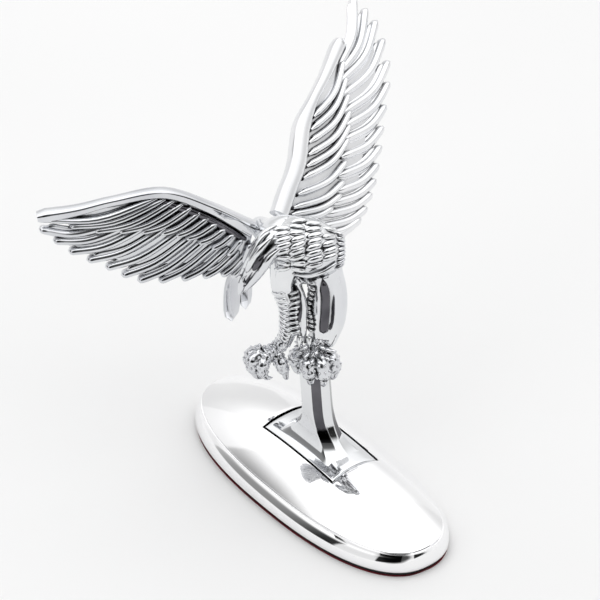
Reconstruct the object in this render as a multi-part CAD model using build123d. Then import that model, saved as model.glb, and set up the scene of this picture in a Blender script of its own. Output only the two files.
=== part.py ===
from build123d import *
import math
import os

# Eagle hood ornament: a domed oval base with a sprung foot plate in a rectangular window,
# and a die-cast eagle on a flared post. Millimetres, +Z up, +X the way the eagle faces,
# origin at the centre of the underside, on the surface that the base stands on.

# ---- driving dimensions -------------------------------------------------------------
BASE_LENGTH = 109.0       # skirt, along X
BASE_WIDTH = 46.0         # skirt, along Y
OVAL_POWER = 2.4          # fullness of the oval: 2 is an ellipse
LINER_THICK = 0.3
TAPE_THICK = 1.3
TAPE_INSET = 0.9          # tape edge, inside the skirt's edge
PLATE_THICK = 1.2
PLATE_GAP = 0.3           # base plate's edge to the shell's inside
SKIRT_TOP_Z = 8.1         # crease between skirt and dome
SKIRT_FLARE = 1.4         # skirt's outward lean, each side
DOME_RISE = 10.4          # dome's height above the crease, if it had no window
WALL = 1.4                # shell wall
DOME_RINGS = 7            # sections that carry the dome
DOME_TOP_RING = 0.22      # smallest ring, inside the window
OVAL_POINTS = 32          # points round one oval section

WINDOW_LENGTH = 35.5
WINDOW_WIDTH = 18.5
WINDOW_CORNER_R = 0.4
WINDOW_Z = 15.6           # height of the window's corners

FOOT_GAP = 0.65           # long sides of the foot plate to the window
PIVOT_DROP = 4.2          # pivot, below the window's corners
FOOT_SWING_R = 17.6       # foot plate's ends are round about the pivot
FOOT_THICK = 3.2          # foot plate at its ends
FOOT_RECESS = 0.3         # foot plate's top, below the dome's surface

PIN_R = 1.25
PIN_LENGTH = 24.4
BUSH_R = 2.0
RUN_FIT = 0.05            # radial running clearance
LUG_R = 3.3
LUG_WIDTH = 9.0
EAR_R = 2.1
EAR_THICK = 1.6
EAR_INNER_Y = 9.4
BRACKET_THICK = 1.2
BRACKET_LENGTH = 13.0
CLIP_THICK = 0.6
CLIP_R = 1.9

SPRING_X = 12.4
SPRING_R = 2.6            # mean radius
SPRING_WIRE_R = 0.35
SPRING_TURNS = 5
SPRING_SEAT = 0.45        # clearance above the coil's top
SPRING_LIFT = 0.1         # clearance under the coil

POST_X = (-36.5, 36.5)    # screw posts between shell and base plate
POST_Y = 9.0
POST_R = 2.6
SCREW_R = 1.1
SCREW_HEAD_R = 2.0
SCREW_HEAD = 0.9
SCREW_GRIP = 4.4
BRACKET_SCREW_X = 4.4

STEM_FOOT = (16.4, 8.3)   # eight-sided section where it leaves the foot plate: half sizes
STEM_FOOT_CUT = (1.6, 6.6)  # its corner cuts, along X and Y
STEM_NECK = (5.2, 4.1)    # the same at the top of the flare
STEM_NECK_CUT = (2.7, 2.7)
STEM_FLARE_H = 22.0       # flare's height above the foot plate
STEM_FLARE_POWER = 3.0    # how hollow the flare is
STEM_HEIGHTS = (0.0, 1.5, 3.5, 6.0, 9.0, 13.0, 17.0, 22.0, 28.0)
STEM_LEAN = 2.0           # backward lean over its height
STEM_SCREW_R = 1.5
STEM_SCREW_HEAD_R = 2.6
STEM_SCREW_HEAD = 1.4
STEM_SCREW_TOP_Z = 52.0
STEM_SCREW_GAP = 0.6      # pocket's start, above the pivot's axis

FEATHERS = 14
FEATHER_R = 2.3
FEATHER_ROOTS = (0.04, 0.84)  # stretch of the rim that the feathers grow from
FEATHER_TIPS = (0.10, 0.992)  # stretch of the fan's edge that they reach
WEB_TIPS = (0.10, 0.90)   # stretch of the fan's edge that the web follows
WEB_REACH = (0.90, 0.80)  # web's size against the fan's, along and across
WING_THICK = 2.4
RIM_R = 2.3
RIM_TIP_R = 1.3
RIM_STEPS = 5
DOWEL_R = 0.8
DOWEL_LENGTH = 7.0
DOWEL_APART = 4.2

PIVOT_Z = WINDOW_Z - PIVOT_DROP
PLATE_Z = LINER_THICK + TAPE_THICK
FLOOR_Z = PLATE_Z + PLATE_THICK
BRACKET_Z = FLOOR_Z + BRACKET_THICK
STEM_SCREW_Z = PIVOT_Z + BUSH_R + 0.1
HALF_LENGTH = BASE_LENGTH / 2
HALF_WIDTH = BASE_WIDTH / 2

# ---- the eagle's skeleton: chains of (x, y, z, radius) --------------------------------
# Heights are above the window's corners.
TORSO = [(-20, -3, 71, 6.6), (-13, -3, 74, 9.0), (-6, 0, 73, 10.6), (-4, 2, 66, 9.0)]
HEAD = [(-6, -6, 78, 7.4), (-7.6, -11.6, 78, 6.0), (-9, -16, 75, 4.8)]
BEAK = [(-9, -16, 75, 4.4), (-11, -19.6, 69, 3.0), (-12.8, -21.4, 61, 1.0)]
RIGHT_LEG = [
    (-8, -5, 67, 6.0), (-6.5, -8, 57, 4.4), (-5, -9, 47, 3.7), (-5.5, -10, 41, 2.8), (-7, -17, 38.6, 3.0),
]
RIGHT_TOES = [
    [(-7, -17, 38.6, 2.9), (-10, -20, 37.6, 2.2), (-10, -20, 33.6, 1.5)],
    [(-7, -17, 38.6, 2.9), (-5.5, -20.5, 37, 2.2), (-5.5, -20, 33, 1.5)],
    [(-6.4, -14, 38.4, 2.6), (-3.2, -12.8, 35, 2.0), (-2.8, -12, 31, 1.4)],
]
LEFT_LEG = [
    (-4, 5, 66, 7.8), (-2.8, 5, 54, 6.2), (-2.6, 3.4, 45, 4.8), (-1.2, 0.6, 37, 3.8), (-1, 0, 32.4, 4.4),
]
LEFT_TOES = [
    [(-1, 0, 33.0, 4.0), (3.6, -5, 32.6, 2.6), (5, -5.6, 29.2, 1.8)],
    [(-1, 0, 33.0, 4.0), (6, 0, 32.6, 2.6), (7, 0, 29.0, 1.8)],
    [(-1, 0, 33.0, 4.0), (-6.6, -3, 32.2, 2.6), (-7.6, -3, 29.0, 1.8)],
    [(-1, 0, 33.0, 4.0), (2.4, 5.6, 32.4, 2.6), (3, 6.4, 29.0, 1.8)],
]
RUMP = [(-12, -2, 66, 8.0), (-20, -1, 60, 5.4)]
TAIL_ROOT = (-22, -1, 58)
TAIL_TIP = (-45, 0, 20)
TAIL_WIDTH = 9.0
TAIL_THICK = 2.2
TAIL_SPLIT = 1.0          # half the gap between the blades at their ends
TAIL_POINT = 3.0          # how far the blades' points stand past the tail's length
TAIL_TUCK = 4.0           # how far the blades run into the body

# Each wing is a fan on its own plane: where the rim starts, the plane's facing, the rim's
# far end, the fan's reach and depth, the rim's arch and how blunt the trailing edge is.
RIGHT_WING = {
    "root": (-26.5, -4.9, 72.5), "tip": (-56.1, -66.4, 86.1), "facing": (0.905, -0.422, 0.060),
    "seat": (-17.5, -7.5, 70.0), "reach": 69.6, "depth": 24.0, "arch": 11.0, "blunt": 0.6, "side": 1,
}
LEFT_WING = {
    "root": (-26.6, 1.1, 72.4), "tip": (-58.6, 51.1, 100.0), "facing": (0.750, 0.120, 0.650),
    "seat": (-17.5, 2.5, 70.0), "reach": 84.4, "depth": 29.0, "arch": 2.8, "blunt": 0.4, "side": -1,
}
WING_ROOT_R = 3.6
WING_SEAT_R = 4.4


def lift(point):
    """Point given above the window's corners, in the part's frame."""
    return (point[0], point[1], point[2] + WINDOW_Z)


def oval(half_x, half_y, z):
    """Closed oval face, a superellipse, at height z."""
    points = []
    for i in range(OVAL_POINTS):
        angle = 2 * math.pi * i / OVAL_POINTS
        c = math.cos(angle)
        s = math.sin(angle)
        x = half_x * math.copysign(abs(c) ** (2 / OVAL_POWER), c)
        y = half_y * math.copysign(abs(s) ** (2 / OVAL_POWER), s)
        points.append((x, y, z))
    return Face(Wire([Edge.make_spline(points, periodic=True)]))


def prism(half_x, half_y, z, height):
    """Straight oval slab."""
    return Solid.extrude(oval(half_x, half_y, z), Vector(0, 0, height))


def oval_loft(sections):
    """Solid through a list of (half_x, half_y, z) ovals."""
    return Solid.make_loft([oval(*section).outer_wire() for section in sections])


def rod(radius, start, direction, length):
    """Cylinder from a point, along a direction."""
    return Solid.make_cylinder(radius, length, Plane(origin=start, z_dir=direction))


def limb(chain):
    """Rounded limb through a chain of (x, y, z, radius)."""
    parts = []
    for x, y, z, radius in chain:
        parts.append(Pos(*lift((x, y, z))) * Sphere(radius))
    for first, second in zip(chain, chain[1:]):
        start = Vector(*lift(first[:3]))
        span = Vector(*lift(second[:3])) - start
        plane = Plane(origin=start, z_dir=span)
        parts.append(Solid.make_cone(first[3], second[3], span.length, plane))
    return parts


def fuse(parts):
    """One solid from overlapping parts."""
    return parts[0].fuse(*parts[1:])


def largest(shape):
    """The biggest solid of a shape."""
    return max(shape.solids(), key=lambda solid: solid.volume)


def shell_body(inset, base_z):
    """Skirt and dome as one solid, inset from the outside by a wall."""
    crease_x = HALF_LENGTH - SKIRT_FLARE - inset
    crease_y = HALF_WIDTH - SKIRT_FLARE - inset
    skirt_top = SKIRT_TOP_Z - inset / 2
    skirt = oval_loft([(HALF_LENGTH - inset, HALF_WIDTH - inset, base_z), (crease_x, crease_y, skirt_top)])
    rings = []
    for i in range(DOME_RINGS):
        share = 1 - (1 - DOME_TOP_RING) * i / (DOME_RINGS - 1)
        height = skirt_top + (DOME_RISE - inset / 2) * (1 - share ** 2)
        rings.append((crease_x * share, crease_y * share, height))
    return largest(skirt + oval_loft(rings))


def screw_places():
    """Centres of the four posts."""
    return [(x, y) for x in POST_X for y in (-POST_Y, POST_Y)]


def base_shell():
    """Hollow cover with the window and four screw posts."""
    outer = shell_body(0.0, PLATE_Z)
    inner = shell_body(WALL, PLATE_Z)
    window = extrude(RectangleRounded(WINDOW_LENGTH, WINDOW_WIDTH, WINDOW_CORNER_R), BASE_WIDTH)
    shell = outer - inner - Pos(0, 0, FLOOR_Z) * window
    for x, y in screw_places():
        post = largest(outer & rod(POST_R, (x, y, FLOOR_Z), (0, 0, 1), BASE_WIDTH))
        shell = shell + post - rod(SCREW_R, (x, y, FLOOR_Z), (0, 0, 1), SCREW_GRIP)
    return largest(shell)


def base_plate():
    """Closing plate inside the skirt, with screw holes."""
    plate = prism(HALF_LENGTH - WALL - PLATE_GAP, HALF_WIDTH - WALL - PLATE_GAP, PLATE_Z, PLATE_THICK)
    for x, y in screw_places():
        plate = plate - rod(SCREW_R, (x, y, PLATE_Z), (0, 0, 1), PLATE_THICK)
        plate = plate - rod(SCREW_HEAD_R, (x, y, PLATE_Z), (0, 0, 1), SCREW_HEAD)
    for x in (-BRACKET_SCREW_X, BRACKET_SCREW_X):
        plate = plate - rod(SCREW_R, (x, 0, PLATE_Z), (0, 0, 1), PLATE_THICK)
    return plate


def screw(x, y, z, grip):
    """Countersunk-style screw with its head flush at the bottom."""
    head = rod(SCREW_HEAD_R, (x, y, z), (0, 0, 1), SCREW_HEAD)
    return head.fuse(rod(SCREW_R, (x, y, z), (0, 0, 1), grip))


def base_plate_screws():
    """Four screws, from the plate's underside into the posts."""
    grip = PLATE_THICK + SCREW_GRIP
    return Compound(children=[screw(x, y, PLATE_Z, grip) for x, y in screw_places()])


def foam_tape():
    """Adhesive foam pad."""
    return prism(HALF_LENGTH - TAPE_INSET, HALF_WIDTH - TAPE_INSET, LINER_THICK, TAPE_THICK)


def release_liner():
    """Peel-off film under the pad."""
    return prism(HALF_LENGTH - TAPE_INSET / 2, HALF_WIDTH - TAPE_INSET / 2, 0, LINER_THICK)


def pivot_bracket():
    """Folded strap across the base with an ear at each side for the pin."""
    width = 2 * (EAR_INNER_Y + EAR_THICK)
    strap = Pos(0, 0, FLOOR_Z + BRACKET_THICK / 2) * Box(BRACKET_LENGTH, width, BRACKET_THICK)
    bracket = strap
    for side in (-1, 1):
        y = side * (EAR_INNER_Y + EAR_THICK / 2)
        ear = Pos(0, y, (FLOOR_Z + PIVOT_Z) / 2) * Box(2 * EAR_R, EAR_THICK, PIVOT_Z - FLOOR_Z)
        start = (0, y - EAR_THICK / 2, PIVOT_Z)
        eye = rod(EAR_R, start, (0, 1, 0), EAR_THICK)
        bracket = bracket + ear + eye - rod(PIN_R, start, (0, 1, 0), EAR_THICK)
    for x in (-BRACKET_SCREW_X, BRACKET_SCREW_X):
        bracket = bracket - rod(SCREW_R, (x, 0, FLOOR_Z), (0, 0, 1), BRACKET_THICK)
    return bracket


def bracket_screws():
    """Two rivet-headed screws: head on the strap, shank down into the plate."""
    screws = []
    for x in (-BRACKET_SCREW_X, BRACKET_SCREW_X):
        head = rod(SCREW_HEAD_R, (x, 0, BRACKET_Z), (0, 0, 1), SCREW_HEAD)
        shank = rod(SCREW_R, (x, 0, PLATE_Z), (0, 0, 1), PLATE_THICK + BRACKET_THICK)
        screws.append(head.fuse(shank))
    return Compound(children=screws)


def pivot_pin():
    """Plain steel pin along Y."""
    return rod(PIN_R, (0, -PIN_LENGTH / 2, PIVOT_Z), (0, 1, 0), PIN_LENGTH)


def pin_clips():
    """Two retaining rings outside the ears."""
    clips = []
    for side in (-1, 1):
        y = side * (EAR_INNER_Y + EAR_THICK + CLIP_THICK / 2) - CLIP_THICK / 2
        ring = rod(CLIP_R, (0, y, PIVOT_Z), (0, 1, 0), CLIP_THICK)
        clips.append(ring - rod(PIN_R, (0, y, PIVOT_Z), (0, 1, 0), CLIP_THICK))
    return Compound(children=clips)


def pivot_bush():
    """Bush in the foot plate's lug, running on the pin."""
    start = (0, -LUG_WIDTH / 2, PIVOT_Z)
    outer = rod(BUSH_R, start, (0, 1, 0), LUG_WIDTH)
    return outer - rod(PIN_R + RUN_FIT, start, (0, 1, 0), LUG_WIDTH)


def coil_spring(x):
    """Compression spring under one end of the foot plate."""
    bottom = FLOOR_Z + SPRING_WIRE_R + SPRING_LIFT
    top = WINDOW_Z - FOOT_RECESS - FOOT_THICK - SPRING_WIRE_R - SPRING_SEAT
    height = top - bottom
    helix = Edge.make_helix(height / SPRING_TURNS, height, SPRING_R, center=(x, 0, bottom))
    plane = Plane(origin=helix @ 0, z_dir=helix % 0)
    return sweep(plane * Circle(SPRING_WIRE_R), path=Wire([helix]))


def foot_plate():
    """Plate that fills the window, with a crowned top and ends round about the pivot."""
    half_width = WINDOW_WIDTH / 2 - FOOT_GAP
    bottom_z = WINDOW_Z - FOOT_RECESS - FOOT_THICK
    blank = Pos(0, 0, bottom_z + DOME_RISE / 2) * Box(2 * FOOT_SWING_R, 2 * half_width, DOME_RISE)
    swing = rod(FOOT_SWING_R, (0, -half_width, PIVOT_Z), (0, 1, 0), 2 * half_width)
    plate = blank & swing & shell_body(FOOT_RECESS, PLATE_Z)
    lug = rod(LUG_R, (0, -LUG_WIDTH / 2, PIVOT_Z), (0, 1, 0), LUG_WIDTH)
    bore = rod(BUSH_R, (0, -half_width, PIVOT_Z), (0, 1, 0), 2 * half_width)
    return plate + lug - bore


def stem_section(height):
    """Eight-sided section of the post, at a height above the foot plate."""
    flare = max(0.0, 1 - height / STEM_FLARE_H) ** STEM_FLARE_POWER
    half_x = STEM_NECK[0] + (STEM_FOOT[0] - STEM_NECK[0]) * flare
    half_y = STEM_NECK[1] + (STEM_FOOT[1] - STEM_NECK[1]) * flare
    cut_x = STEM_NECK_CUT[0] + (STEM_FOOT_CUT[0] - STEM_NECK_CUT[0]) * flare
    cut_y = STEM_NECK_CUT[1] + (STEM_FOOT_CUT[1] - STEM_NECK_CUT[1]) * flare
    lean = -STEM_LEAN * height / STEM_HEIGHTS[-1]
    z = WINDOW_Z - FOOT_RECESS + height
    quarter = [(half_x, half_y - cut_y), (half_x - cut_x, half_y)]
    points = quarter + [(-x, y) for x, y in reversed(quarter)]
    points += [(-x, -y) for x, y in quarter] + [(x, -y) for x, y in reversed(quarter)]
    return Wire(Polyline(*[(x + lean, y, z) for x, y in points], close=True).edges())


def stand():
    """Foot plate and faceted post, one casting."""
    post = Solid.make_loft([stem_section(height) for height in STEM_HEIGHTS], ruled=True)
    casting = foot_plate() + post
    pocket = (0, 0, PIVOT_Z + STEM_SCREW_GAP)
    casting = casting - rod(STEM_SCREW_R, pocket, (0, 0, 1), STEM_SCREW_TOP_Z)
    casting = casting - rod(STEM_SCREW_HEAD_R, pocket, (0, 0, 1), STEM_SCREW_Z + STEM_SCREW_HEAD - pocket[2])
    return largest(casting)


def stand_screw():
    """Screw up through the post into the eagle's perching foot."""
    start = (0, 0, STEM_SCREW_Z)
    head = rod(STEM_SCREW_HEAD_R, start, (0, 0, 1), STEM_SCREW_HEAD)
    return head.fuse(rod(STEM_SCREW_R, start, (0, 0, 1), STEM_SCREW_TOP_Z - start[2]))


def wing_plane(wing):
    """Plane of a wing: X along the rim, Z the way the wing's face looks."""
    root = Vector(*lift(wing["root"]))
    along = Vector(*lift(wing["tip"])) - root
    facing = Vector(*wing["facing"])
    square = facing - along * (facing.dot(along) / along.dot(along))
    return Plane(origin=root, x_dir=along, z_dir=square)


def rim_point(wing, share):
    """Point on the arched rim, in the wing's plane; share runs from 0 to 1."""
    length = (Vector(*wing["tip"]) - Vector(*wing["root"])).length
    return (share * length, -wing["side"] * wing["arch"] * 4 * share * (1 - share))


def trail_point(wing, share):
    """Point on the trailing edge; share runs from the root, 0, to the fan's tip, 1."""
    depth = wing["depth"] * max(0.0, 1 - share ** 2) ** wing["blunt"]
    return (share * wing["reach"], wing["side"] * depth)


def between(ends, share):
    """Value a share of the way between two ends."""
    return ends[0] + (ends[1] - ends[0]) * share


def feather_ends(wing, index):
    """Root and tip centres of one long feather."""
    share = index / (FEATHERS - 1)
    root = rim_point(wing, between(FEATHER_ROOTS, share))
    tip = trail_point(wing, between(FEATHER_TIPS, share))
    pull = Vector(root[0] - tip[0], root[1] - tip[1])
    inset = pull * (FEATHER_R / pull.length)
    return root, (tip[0] + inset.X, tip[1] + inset.Y)


def feather_blank(spec, index):
    """Flat outline of one long feather, in the wing's plane."""
    root, tip = feather_ends(spec, index)
    middle = ((root[0] + tip[0]) / 2, (root[1] + tip[1]) / 2)
    turn = math.degrees(math.atan2(tip[1] - root[1], tip[0] - root[0]))
    return Pos(*middle) * Rot(0, 0, turn) * SlotCenterToCenter(math.dist(root, tip), 2 * FEATHER_R)


def web_blank(spec, rim):
    """Flat web between the rim and the feathers."""
    inner = []
    for i in range(RIM_STEPS, -1, -1):
        x, y = trail_point(spec, between(WEB_TIPS, i / RIM_STEPS))
        inner.append((x * WEB_REACH[0], y * WEB_REACH[1]))
    return make_face(Polyline(*rim, *inner, close=True))


def wing(spec, body):
    """Wing casting: a fan of feathers on a web, a round rim, and a root that seats on the body."""
    rim = [rim_point(spec, i / RIM_STEPS) for i in range(RIM_STEPS + 1)]
    flat = [feather_blank(spec, index) for index in range(FEATHERS)]
    fan = extrude(web_blank(spec, rim) + flat, WING_THICK / 2, both=True)
    plane = wing_plane(spec)
    casting = list((plane * fan).solids())
    points = [plane.from_local_coords(Vector(x, y, 0)) for x, y in rim]
    radii = [between((RIM_R, RIM_TIP_R), i / RIM_STEPS) for i in range(RIM_STEPS + 1)]
    for i in range(RIM_STEPS):
        span = points[i + 1] - points[i]
        stretch = Plane(origin=points[i], z_dir=span)
        casting.append(Solid.make_cone(radii[i], radii[i + 1], span.length, stretch))
    for point, radius in zip(points, radii):
        casting.append(Pos(point) * Sphere(radius))
    root = [(*spec["root"], WING_ROOT_R), (*spec["seat"], WING_SEAT_R)]
    return largest(fuse(casting + limb(root)) - body)


def wing_dowels(spec):
    """Two dowels across the joint between a wing and the body."""
    root = Vector(*lift(spec["root"]))
    way = (Vector(*lift(spec["seat"])) - root).normalized()
    aside = way.cross(Vector(0, 1, 0)).normalized() * (DOWEL_APART / 2)
    middle = root + way * (DOWEL_LENGTH / 4)
    return [rod(DOWEL_R, middle + aside * side, way, DOWEL_LENGTH) for side in (-1, 1)]


def tail(body):
    """Two blades side by side, wider towards their ends."""
    root = Vector(*lift(TAIL_ROOT))
    span = Vector(*lift(TAIL_TIP)) - root
    plane = Plane(origin=root, x_dir=span, z_dir=span.cross(Vector(0, 1, 0)))
    length = span.length
    near = 0.36 * TAIL_WIDTH
    far = 0.62 * TAIL_WIDTH
    shape = Box(length * 0.8, TAIL_WIDTH * 0.4, TAIL_THICK)
    for side in (-1, 1):
        outline = [(-TAIL_TUCK, 0.2 * TAIL_SPLIT * side), (length, TAIL_SPLIT * side)]
        outline += [(length + TAIL_POINT, near * side), (length - TAIL_SPLIT, far * side)]
        outline += [(-TAIL_TUCK, near * side)]
        shape = shape + extrude(make_face(Polyline(*outline, close=True)), TAIL_THICK / 2, both=True)
    return largest(plane * shape - body)


def tail_dowel():
    """Dowel along the tail's length, half in the body and half in the tail."""
    root = Vector(*lift(TAIL_ROOT))
    way = (root - Vector(*lift(TAIL_TIP))).normalized()
    return rod(DOWEL_R, root - way * (DOWEL_LENGTH * 0.35), way, DOWEL_LENGTH)


def eagle_body():
    """Torso, head, beak, legs and toes, one casting."""
    chains = [TORSO, HEAD, BEAK, RUMP, RIGHT_LEG, LEFT_LEG] + RIGHT_TOES + LEFT_TOES
    parts = []
    for chain in chains:
        parts += limb(chain)
    return largest(fuse(parts))


def save(shape, name):
    """Write one node."""
    export_step(shape, os.path.join("parts", name + ".step"))


os.makedirs("parts", exist_ok=True)

post = stand()
bird = eagle_body() - post
dowels = {"right_wing_dowels": wing_dowels(RIGHT_WING), "left_wing_dowels": wing_dowels(LEFT_WING),
          "tail_dowel": [tail_dowel()]}
wings = {"right_wing": wing(RIGHT_WING, bird), "left_wing": wing(LEFT_WING, bird)}
wings["left_wing"] = largest(wings["left_wing"] - wings["right_wing"])
rump = largest(tail(bird) - wings["right_wing"] - wings["left_wing"])
bird = bird - stand_screw()
for pins in dowels.values():
    for pin in pins:
        bird = bird - pin
        rump = rump - pin
        wings = {name: shape - pin for name, shape in wings.items()}

save(base_shell(), "base_shell")
save(base_plate(), "base_plate")
save(base_plate_screws(), "base_plate_screws")
save(foam_tape(), "foam_tape")
save(release_liner(), "release_liner")
save(pivot_bracket(), "pivot_bracket")
save(bracket_screws(), "bracket_screws")
save(pivot_pin(), "pivot_pin")
save(pin_clips(), "pin_clips")
save(pivot_bush(), "pivot_bush")
save(coil_spring(SPRING_X), "front_spring")
save(coil_spring(-SPRING_X), "rear_spring")
save(post, "stand")
save(stand_screw(), "stand_screw")
save(largest(bird), "eagle_body")
save(largest(rump), "tail")
for name, shape in wings.items():
    save(largest(shape), name)
for name, pins in dowels.items():
    save(Compound(children=pins) if len(pins) > 1 else pins[0], name)
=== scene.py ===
import bpy
import bmesh
import math
import random
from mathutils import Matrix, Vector
from mathutils.bvhtree import BVHTree


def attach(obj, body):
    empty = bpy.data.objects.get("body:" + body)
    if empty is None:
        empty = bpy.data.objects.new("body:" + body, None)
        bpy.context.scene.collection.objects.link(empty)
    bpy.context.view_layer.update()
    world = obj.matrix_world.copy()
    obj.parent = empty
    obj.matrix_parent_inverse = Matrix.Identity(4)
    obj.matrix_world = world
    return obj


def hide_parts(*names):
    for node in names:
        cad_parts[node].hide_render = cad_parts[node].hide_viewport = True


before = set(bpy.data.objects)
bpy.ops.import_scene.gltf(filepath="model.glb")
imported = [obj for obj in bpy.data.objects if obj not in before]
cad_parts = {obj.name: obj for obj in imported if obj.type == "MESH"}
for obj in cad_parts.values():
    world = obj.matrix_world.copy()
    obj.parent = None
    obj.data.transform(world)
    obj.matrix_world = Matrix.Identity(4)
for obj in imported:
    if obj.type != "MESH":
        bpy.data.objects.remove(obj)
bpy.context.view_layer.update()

# ---- sizes, in millimetres, in the CAD's frame ----
MM = 0.001
UP = Vector((0, 0, 1))
WINDOW_Z = 15.6           # height of the window's corners; the figure is measured from it
OVAL_POWER = 2.4          # squareness of the base's outline; 2 would be an ellipse
HALF_LENGTH, HALF_WIDTH = 54.5, 23.0
SKIRT_FLARE = (1.4, 2.9)  # skirt's lean along the base, and across it
SKIRT_CURVE = 1.9         # above 1, the skirt flares most near its top
SKIRT_TOP_Z = 8.1
SKIRT_FOOT_Z = 1.6
DOME_RISE = 10.4
WALL = 1.4
WINDOW_LIP = 0.3          # rounding at the window's edge
WINDOW_HALF = (17.75, 9.25)
PIVOT_Z = 11.4
LUG_RADIUS = 3.3
FOOT_HALF_LENGTH = 16.5
FOOT_HALF_WIDTH = 8.6
FOOT_SWING_R = 17.6       # radius of the foot plate's ends about the pivot
FOOT_DROP = 0.35          # how far the foot plate lies below the dome's surface
FOOT_BOTTOM_Z = 12.2
STEM_HEIGHT = 28.0
STEM_LEAN = -3.0          # how far back the post's top stands
PAINTED_CHAMFERS_FROM = 5.5         # height above the post's foot where its dark chamfers begin; their darkness is a painted dark reflection
DARK = 1                  # place of the second, darker material in a piece's list; on the figure it paints shade and dark reflections


def at(x, y, z):
    """A point of the figure, given above the window's corners."""
    return Vector((x, y, z + WINDOW_Z))


# ---- materials ----
def new_material(name):
    """Empty material with a Principled shader; returns it, its nodes, links and shader."""
    material = bpy.data.materials.new(name)
    material.use_nodes = True
    nodes = material.node_tree.nodes
    return material, nodes, material.node_tree.links, nodes["Principled BSDF"]


def noise_node(nodes, links, scale, detail=3.0):
    """Noise laid over the piece in its own coordinates."""
    place = nodes.new("ShaderNodeTexCoord")
    noise = nodes.new("ShaderNodeTexNoise")
    noise.inputs["Scale"].default_value = scale
    noise.inputs["Detail"].default_value = detail
    links.new(place.outputs["Object"], noise.inputs["Vector"])
    return noise


def ramp_node(nodes, links, source, low, high, start=0.3, end=0.7):
    """Two-stop colour ramp fed by a value."""
    ramp = nodes.new("ShaderNodeValToRGB")
    ramp.color_ramp.elements[0].position = start
    ramp.color_ramp.elements[1].position = end
    ramp.color_ramp.elements[0].color = low
    ramp.color_ramp.elements[1].color = high
    links.new(source, ramp.inputs["Fac"])
    return ramp


def mix_node(nodes, links, first, second, factor=1.0, blend="MIX"):
    """Two colours mixed by a number or a socket."""
    mix = nodes.new("ShaderNodeMix")
    mix.data_type = "RGBA"
    mix.blend_type = blend
    if isinstance(factor, float):
        mix.inputs["Factor"].default_value = factor
    else:
        links.new(factor, mix.inputs["Factor"])
    links.new(first, mix.inputs["A"])
    links.new(second, mix.inputs["B"])
    return mix.outputs["Result"]


def grey(value):
    """Opaque grey."""
    return (value, value, value, 1.0)


def add_bump(nodes, links, shader, height, strength, distance):
    """Fine surface relief; the distance is in metres."""
    bump = nodes.new("ShaderNodeBump")
    bump.inputs["Strength"].default_value = strength
    bump.inputs["Distance"].default_value = distance
    links.new(height, bump.inputs["Height"])
    links.new(bump.outputs["Normal"], shader.inputs["Normal"])


RECESS_REACH = 0.0022     # metres; how near a wall must be for the painted shade to darken a recess


def chrome(name, low, high, rough_low, rough_high, bump, recess=1.0):
    """Chrome plate: tone drift, haze and orange peel, with painted shade darkening its grooves; recess is how
    bright the deep grooves stay.
    """
    material, nodes, links, shader = new_material(name)
    shader.inputs["Metallic"].default_value = 1.0
    tone = noise_node(nodes, links, 60.0)
    colour = ramp_node(nodes, links, tone.outputs["Fac"], low, high)
    # Painted shade: the base colour darkens where the occlusion node finds walls close by.
    hollow = nodes.new("ShaderNodeAmbientOcclusion")
    hollow.only_local = True
    hollow.samples = 8
    hollow.inputs["Distance"].default_value = RECESS_REACH
    painted_recess_shade = ramp_node(nodes, links, hollow.outputs["AO"], grey(recess), grey(1.0), 0.15, 0.75)
    plate = mix_node(nodes, links, colour.outputs["Color"], painted_recess_shade.outputs["Color"], 1.0, "MULTIPLY")
    links.new(plate, shader.inputs["Base Color"])
    haze = noise_node(nodes, links, 220.0, 5.0)
    rough = ramp_node(nodes, links, haze.outputs["Fac"], grey(rough_low), grey(rough_high))
    links.new(rough.outputs["Color"], shader.inputs["Roughness"])
    peel = noise_node(nodes, links, 900.0, 2.0)
    add_bump(nodes, links, shader, peel.outputs["Fac"], bump, 0.0001)
    return material


def foam(name):
    """Dark closed-cell foam."""
    material, nodes, links, shader = new_material(name)
    cells = nodes.new("ShaderNodeTexVoronoi")
    cells.inputs["Scale"].default_value = 2500.0
    place = nodes.new("ShaderNodeTexCoord")
    links.new(place.outputs["Object"], cells.inputs["Vector"])
    colour = ramp_node(nodes, links, cells.outputs["Distance"], grey(0.008), grey(0.035), 0.1, 0.6)
    links.new(colour.outputs["Color"], shader.inputs["Base Color"])
    shader.inputs["Roughness"].default_value = 0.9
    add_bump(nodes, links, shader, cells.outputs["Distance"], 0.6, 0.0003)
    return material


def film(name):
    """Dark red release film, lightly creased."""
    material, nodes, links, shader = new_material(name)
    drift = noise_node(nodes, links, 90.0)
    colour = ramp_node(nodes, links, drift.outputs["Fac"], (0.10, 0.004, 0.010, 1), (0.20, 0.012, 0.020, 1))
    links.new(colour.outputs["Color"], shader.inputs["Base Color"])
    shader.inputs["Roughness"].default_value = 0.32
    crease = noise_node(nodes, links, 400.0)
    add_bump(nodes, links, shader, crease.outputs["Fac"], 0.3, 0.0002)
    return material


def plastic(name):
    """Matt black moulded plastic with a fine grain."""
    material, nodes, links, shader = new_material(name)
    grain = noise_node(nodes, links, 1800.0)
    colour = ramp_node(nodes, links, grain.outputs["Fac"], grey(0.006), grey(0.02))
    links.new(colour.outputs["Color"], shader.inputs["Base Color"])
    shader.inputs["Roughness"].default_value = 0.55
    add_bump(nodes, links, shader, grain.outputs["Fac"], 0.4, 0.0001)
    return material


def bare_metal(name, low, high):
    """Plated steel or brass with drawn lines."""
    material, nodes, links, shader = new_material(name)
    shader.inputs["Metallic"].default_value = 1.0
    lines = noise_node(nodes, links, 500.0, 6.0)
    colour = ramp_node(nodes, links, lines.outputs["Fac"], low, high)
    links.new(colour.outputs["Color"], shader.inputs["Base Color"])
    rough = ramp_node(nodes, links, lines.outputs["Fac"], grey(0.22), grey(0.42))
    links.new(rough.outputs["Color"], shader.inputs["Roughness"])
    return material


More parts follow.
